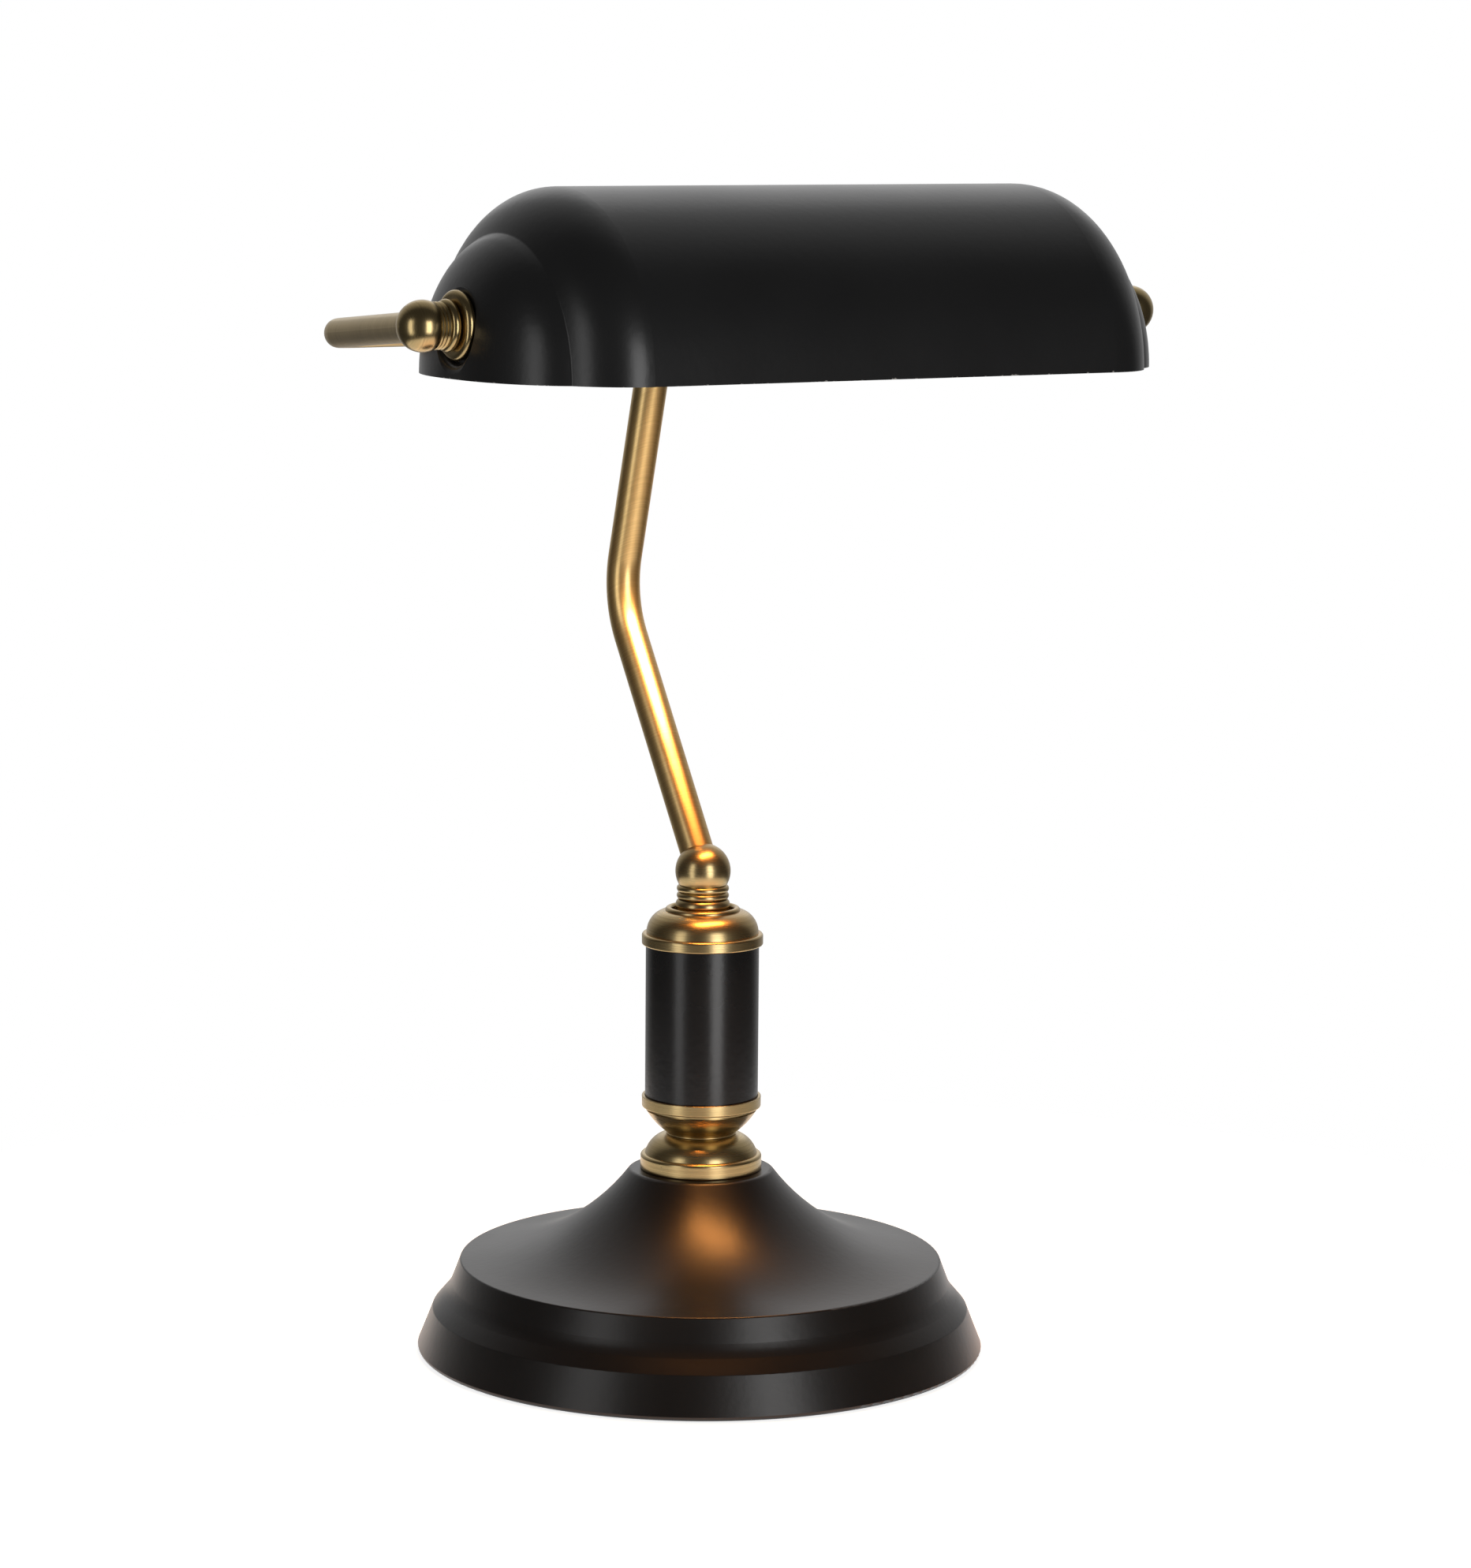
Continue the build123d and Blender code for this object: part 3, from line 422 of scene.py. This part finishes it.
join(
    brushed,
    (inside.outputs["Position"], line_place.inputs[0]),
    (line_place.outputs["Vector"], lines.inputs["Vector"]),
    (inside.outputs["Along"], line_count.inputs[0]),
    (line_count.outputs[0], lines.inputs["W"]),
    (inside.outputs["Position"], clouds.inputs["Vector"]),
    (inside.outputs["Position"], pits.inputs["Vector"]),
    (clouds.outputs["Fac"], cloud_shade.inputs["Value"]),
    (pits.outputs["Distance"], pit_shade.inputs["Value"]),
    (lines.outputs["Fac"], line_shade.inputs["Value"]),
    (cloud_shade.outputs["Result"], darkness.inputs[0]),
    (inside.outputs["Stain"], darkness.inputs[1]),
    (line_shade.outputs["Result"], darkness.inputs[2]),
    (darkness.outputs[0], darkest.inputs[0]),
    (pit_shade.outputs["Result"], darkest.inputs[1]),
    (darkest.outputs[0], tint.inputs["Factor"]),
    (inside.outputs["Bright"], tint.inputs["A"]),
    (inside.outputs["Dark"], tint.inputs["B"]),
    (tint.outputs["Result"], outside.inputs["Colour"]),
    (lines.outputs["Fac"], gloss.inputs["Value"]),
    (inside.outputs["Finish"], dullest.inputs[0]),
    (inside.outputs["Finish"], gloss.inputs["To Min"]),
    (dullest.outputs[0], gloss.inputs["To Max"]),
    (gloss.outputs["Result"], outside.inputs["Roughness"]),
    (lines.outputs["Fac"], deep.inputs[0]),
    (pit_shade.outputs["Result"], deep.inputs[1]),
    (deep.outputs[0], outside.inputs["Height"]),
)


def brushed_metal(name, bright, dark, runs, stain, finish=0.19):
    """Metal with brush lines across one direction, or across each run of a bent tube.

    Each run is a point on it and its direction. The place along a bent tube is the least of
    the places along its runs.
    """
    material, tree, shader, where = plain_material(name, finish, metallic=1.0)
    along = None
    for point, way in runs:
        shifted = add_node(tree, "VectorMath", {1: point}, "SUBTRACT")
        reach = add_node(tree, "VectorMath", {1: way.normalized()}, "DOT_PRODUCT")
        join(
            tree,
            (where.outputs["Object"], shifted.inputs[0]),
            (shifted.outputs["Vector"], reach.inputs[0]),
        )
        if along is None:
            along = reach.outputs["Value"]
        else:
            least = add_node(tree, "Math", operation="MINIMUM")
            join(tree, (along, least.inputs[0]), (reach.outputs["Value"], least.inputs[1]))
            along = least.outputs[0]
    brush = add_node(tree, "Group")
    brush.node_tree = brushed
    brush.inputs["Bright"].default_value = bright
    brush.inputs["Dark"].default_value = dark
    brush.inputs["Stain"].default_value = stain
    brush.inputs["Finish"].default_value = finish
    relief = add_node(tree, "Bump", {"Strength": 0.10, "Distance": 0.00002})
    join(
        tree,
        (where.outputs["Object"], brush.inputs["Position"]),
        (along, brush.inputs["Along"]),
        (brush.outputs["Colour"], shader.inputs["Base Color"]),
        (brush.outputs["Roughness"], shader.inputs["Roughness"]),
        (brush.outputs["Height"], relief.inputs["Height"]),
        (relief.outputs["Normal"], shader.inputs["Normal"]),
    )
    return material


origin = Vector((0, 0, 0))
across = [(origin, Vector((1, 0, 0)))]
upright = [(origin, Vector((0, 0, 1)))]
zinc = (0.62, 0.62, 0.60, 1)
dull_zinc = (0.34, 0.34, 0.33, 1)
turned_zinc = brushed_metal("turned_zinc", zinc, dull_zinc, upright, stain=0.5)
dress(brushed_metal("zinc_plate", zinc, dull_zinc, across, stain=0.6), "base_cover")
dress(turned_zinc, "cover_screws")

# ---- Earth screw and cable bush ---------------------------------------------------------
# A brass screw bonds the shell to earth inside the base. A black rubber bush lines the
# hole at the back where the lead comes in.

plain_brass = (0.72, 0.55, 0.26, 1)
dull_brass = (0.40, 0.27, 0.11, 1)
turned_brass = brushed_metal("turned_brass", plain_brass, dull_brass, upright, stain=0.4)
dress(turned_brass, "earth_screw")

rubber, tree, shader, where = plain_material("black_rubber", roughness=0.6)
rubber_colours = ((0.012, 0.012, 0.012, 1), (0.030, 0.030, 0.029, 1))
mottle(
    tree, where, shader, rubber_colours,
    scale=700.0, low=0.35, high=0.7, depth=0.0001, strength=0.5,
)
dress(rubber, "cable_bush")

# ---- Rod, nut, washer and clip ----------------------------------------------------------
# Zinc-plated steel. The hollow rod clamps the column to the base, with a nut, a washer and
# a spacer inside the shell, and the clip holds the swivel's spigot down.

dress(turned_zinc, "column_rod", "rod_nut", "rod_washer", "base_spacer", "swivel_clip")

# ---- Foot, cup, cap and swivel of the column --------------------------------------------
# Turned brass, brushed while it spins, darkened and then lacquered. The brush lines run
# round each piece, and the dark finish stays in pits and uneven clouds.

antique = (0.52, 0.395, 0.190, 1)
patina = (0.22, 0.148, 0.068, 1)
patina_share = 0.22
column_brass = brushed_metal(
    "upright_brass", antique, patina, upright, patina_share, finish=0.22
)
dress(column_brass, "column_foot", "column_cup", "column_cap", "swivel_base", "swivel_ball")

# ---- Stem and bow ---------------------------------------------------------------------
# Drawn brass tubes, brazed into the balls. The stem bends once, and each half of the bow
# turns the corner behind the shade, on its way from the middle ball to the shade's end.

stem_bend = Vector((0, 0.059, 0.263))
hub_low, hub_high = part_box("bow_hub")
hub = (hub_low + hub_high) / 2
ball_low, ball_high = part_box("swivel_ball")
ball = Vector((0, 0, ball_high.z - (ball_high.y - ball_low.y) / 2))
stem_runs = [(stem_bend, stem_bend - ball), (stem_bend, hub - stem_bend)]
# The stem's brass is painted brighter and more golden than the other brass. It is the same
# brass, and the extra brightness is a painted highlight for the warm light that the stem
# reflects from the bulb and the table.
painted_lit_stem_tint = (0.78, 0.57, 0.255, 1)
painted_lit_stem_patina = (0.38, 0.245, 0.09, 1)
stem_brass_painted_light = brushed_metal(
    "stem_brass_painted_light", painted_lit_stem_tint, painted_lit_stem_patina, stem_runs, stain=0.2, finish=0.27
)
dress(stem_brass_painted_light, "stem_tube")

across_brass = brushed_metal("across_brass", antique, patina, across, patina_share)
dress(across_brass, "bow_hub")

bow_corner = 0.131
for side, sign in (("left", -1), ("right", 1)):
    end_low, end_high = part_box("end_ball_" + side)
    end = (end_low + end_high) / 2
    corner = Vector((sign * bow_corner, hub.y, hub.z))
    bow_runs = [(corner, corner - end), (corner, Vector((-sign, 0, 0)))]
    bow_brass = brushed_metal(
        "bow_brass_" + side, antique, patina, bow_runs, patina_share, finish=0.25
    )
    dress(bow_brass, "bow_tube_" + side)

# ---- Shade pivots -----------------------------------------------------------------------
# At each end of the shade a threaded brass nipple runs from the bow's ball through a neck,
# a collar and a flange. Plated washers and a nut hold it inside, with a spring washer.

thread_brass = brushed_metal("brass_across", plain_brass, dull_brass, across, stain=0.4)
pivot_zinc = brushed_metal("zinc_across", zinc, dull_zinc, across, stain=0.5)
for side in ("left", "right"):
    dress(across_brass, "end_ball_" + side, "pivot_collar_" + side, "pivot_flange_" + side)
    dress(thread_brass, "pivot_nipple_" + side)
    dress(pivot_zinc, "inner_washer_" + side, "spring_washer_" + side, "pivot_nut_" + side)

# ---- Shade ----------------------------------------------------------------------------
# One pressed steel shell, black outside and white inside, where it throws the light down.
# Along its open edge the coat is thin and has tiny chips.

# The shade's outer black is painted lighter than the same black on the base and the tube.
# That lightness is a painted reflection of the pale light that the shade's front catches.
shade_black_painted_light = (0.0130, 0.0130, 0.0132, 1)
shade_cloud_painted_light = (0.0180, 0.0180, 0.0184, 1)
shade_white = (0.78, 0.76, 0.71, 1)
bare_steel = (0.35, 0.34, 0.32, 1)
chips_start = 0.0001
chips_reach = 0.0010
inner_face_limit = -0.2
shade_low, shade_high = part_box("shade_shell")
shade_middle = Vector((0, (shade_low.y + shade_high.y) / 2, shade_low.z))
shade_coat, tree, shader, where, outer_colour = powder_coat(
    "shade_coat", shade_black_painted_light, shade_cloud_painted_light, roughness=0.30
)
outward = add_node(tree, "VectorMath", {1: shade_middle}, "SUBTRACT")
unit = add_node(tree, "VectorMath", operation="NORMALIZE")
facing = add_node(tree, "VectorMath", operation="DOT_PRODUCT")
inner_face = add_node(tree, "Math", {1: inner_face_limit}, "LESS_THAN")
coat_colour = add_colour_mix(tree, second=shade_white)
edge_place = add_node(tree, "SeparateXYZ")
edge = add_node(tree, "MapRange", {
    "From Min": shade_low.z + chips_start,
    "From Max": shade_low.z + chips_reach,
    "To Min": 0.62,
    "To Max": 0.85,
})
chips = add_node(tree, "TexNoise", {"Scale": 520.0, "Detail": 2.0})
chipped = add_node(tree, "Math", operation="GREATER_THAN")
worn_colour = add_colour_mix(tree, second=bare_steel)
join(
    tree,
    (where.outputs["Object"], outward.inputs[0]),
    (outward.outputs["Vector"], unit.inputs[0]),
    (unit.outputs["Vector"], facing.inputs[0]),
    (where.outputs["Normal"], facing.inputs[1]),
    (facing.outputs["Value"], inner_face.inputs[0]),
    (inner_face.outputs[0], coat_colour.inputs["Factor"]),
    (outer_colour.outputs["Result"], coat_colour.inputs["A"]),
    (where.outputs["Object"], edge_place.inputs[0]),
    (edge_place.outputs["Z"], edge.inputs["Value"]),
    (where.outputs["Object"], chips.inputs["Vector"]),
    (chips.outputs["Fac"], chipped.inputs[0]),
    (edge.outputs["Result"], chipped.inputs[1]),
    (chipped.outputs[0], worn_colour.inputs["Factor"]),
    (coat_colour.outputs["Result"], worn_colour.inputs["A"]),
    (worn_colour.outputs["Result"], shader.inputs["Base Color"]),
)
dress(shade_coat, "shade_shell")

# ---- Lampholder -------------------------------------------------------------------------
# A black phenolic cap and body, screwed together on the left pivot's nipple. Inside are a
# brass screw sleeve and a sprung centre contact for the bulb.

phenolic, tree, shader, where = plain_material("black_phenolic", roughness=0.34)
phenolic_colours = ((0.008, 0.007, 0.006, 1), (0.022, 0.017, 0.013, 1))
swirl = mottle(
    tree, where, shader, phenolic_colours,
    scale=60.0, low=0.35, high=0.7, depth=0.00015, strength=0.35, detail=6.0,
)
swirl.inputs["Distortion"].default_value = 1.8
dress(phenolic, "holder_cap", "holder_body")
dress(thread_brass, "screw_sleeve", "centre_contact")

# ---- Bulb -------------------------------------------------------------------------------
# A tubular opal bulb that is on, bright along its middle and yellower at its ends, with a
# nickel-plated screw cap and a black glass insulator round its tip.

nickel = (0.60, 0.57, 0.52, 1)
dull_nickel = (0.36, 0.33, 0.29, 1)
dress(brushed_metal("nickel_cap", nickel, dull_nickel, across, stain=0.3), "bulb_cap")

black_glass, tree, shader, where = plain_material("black_glass", roughness=0.12)
glass_colours = ((0.004, 0.004, 0.005, 1), (0.016, 0.014, 0.016, 1))
mottle(
    tree, where, shader, glass_colours,
    scale=300.0, low=0.4, high=0.7, depth=0.00005, strength=0.2,
)
dress(black_glass, "bulb_tip")

# The glow fades between two distances from the middle of the bulb's length.
glow_full_to = 0.052
glow_least_from = 0.079
bulb_low, bulb_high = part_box("bulb_glass")
bulb_middle = (bulb_low + bulb_high) / 2
opal, tree, shader, where = plain_material("lit_opal", roughness=0.22)
opal_colours = ((0.90, 0.86, 0.78, 1), (0.84, 0.79, 0.70, 1))
mottle(
    tree, where, shader, opal_colours,
    scale=45.0, low=0.3, high=0.7, depth=0.00005, strength=0.1,
)
bulb_place = add_node(tree, "SeparateXYZ")
bulb_shift = add_node(tree, "Math", {1: bulb_middle.x}, "SUBTRACT")
bulb_reach = add_node(tree, "Math", operation="ABSOLUTE")
bulb_end = add_node(tree, "MapRange", {"From Min": glow_full_to, "From Max": glow_least_from})
bulb_end.interpolation_type = "SMOOTHSTEP"
bulb_glow = add_colour_mix(tree, (1.0, 0.66, 0.34, 1), (0.55, 0.24, 0.07, 1))
shader.inputs["Emission Strength"].default_value = 1.7
join(
    tree,
    (where.outputs["Object"], bulb_place.inputs[0]),
    (bulb_place.outputs["X"], bulb_shift.inputs[0]),
    (bulb_shift.outputs[0], bulb_reach.inputs[0]),
    (bulb_reach.outputs[0], bulb_end.inputs["Value"]),
    (bulb_end.outputs["Result"], bulb_glow.inputs["Factor"]),
    (bulb_glow.outputs["Result"], shader.inputs["Emission Color"]),
)
dress(opal, "bulb_glass")

# Two narrow lights just outside the glass throw the bulb's light at the base and the stem.
pool_colour = (1.0, 0.37, 0.085)
stem_colour = (1.0, 0.60, 0.29)
bulb_light_length = 0.15
bulb_light_gap = 0.0012
bulb_radius = (bulb_high.z - bulb_low.z) / 2
for name, tilt, breadth, spread, radiance, colour in (
    ("bulb_light_down", -12, 0.055, 100, 15.0, pool_colour),
    ("bulb_light_back", 46, 0.030, 70, 20.0, stem_colour),
):
    aim = Vector((0, sin(radians(tilt)), -cos(radians(tilt))))
    place = bulb_middle + aim * (bulb_radius + bulb_light_gap)
    bulb_light = light_panel(
        name, place, aim, bulb_light_length, breadth, radiance, colour, radians(spread)
    )
    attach(bulb_light, "arm")
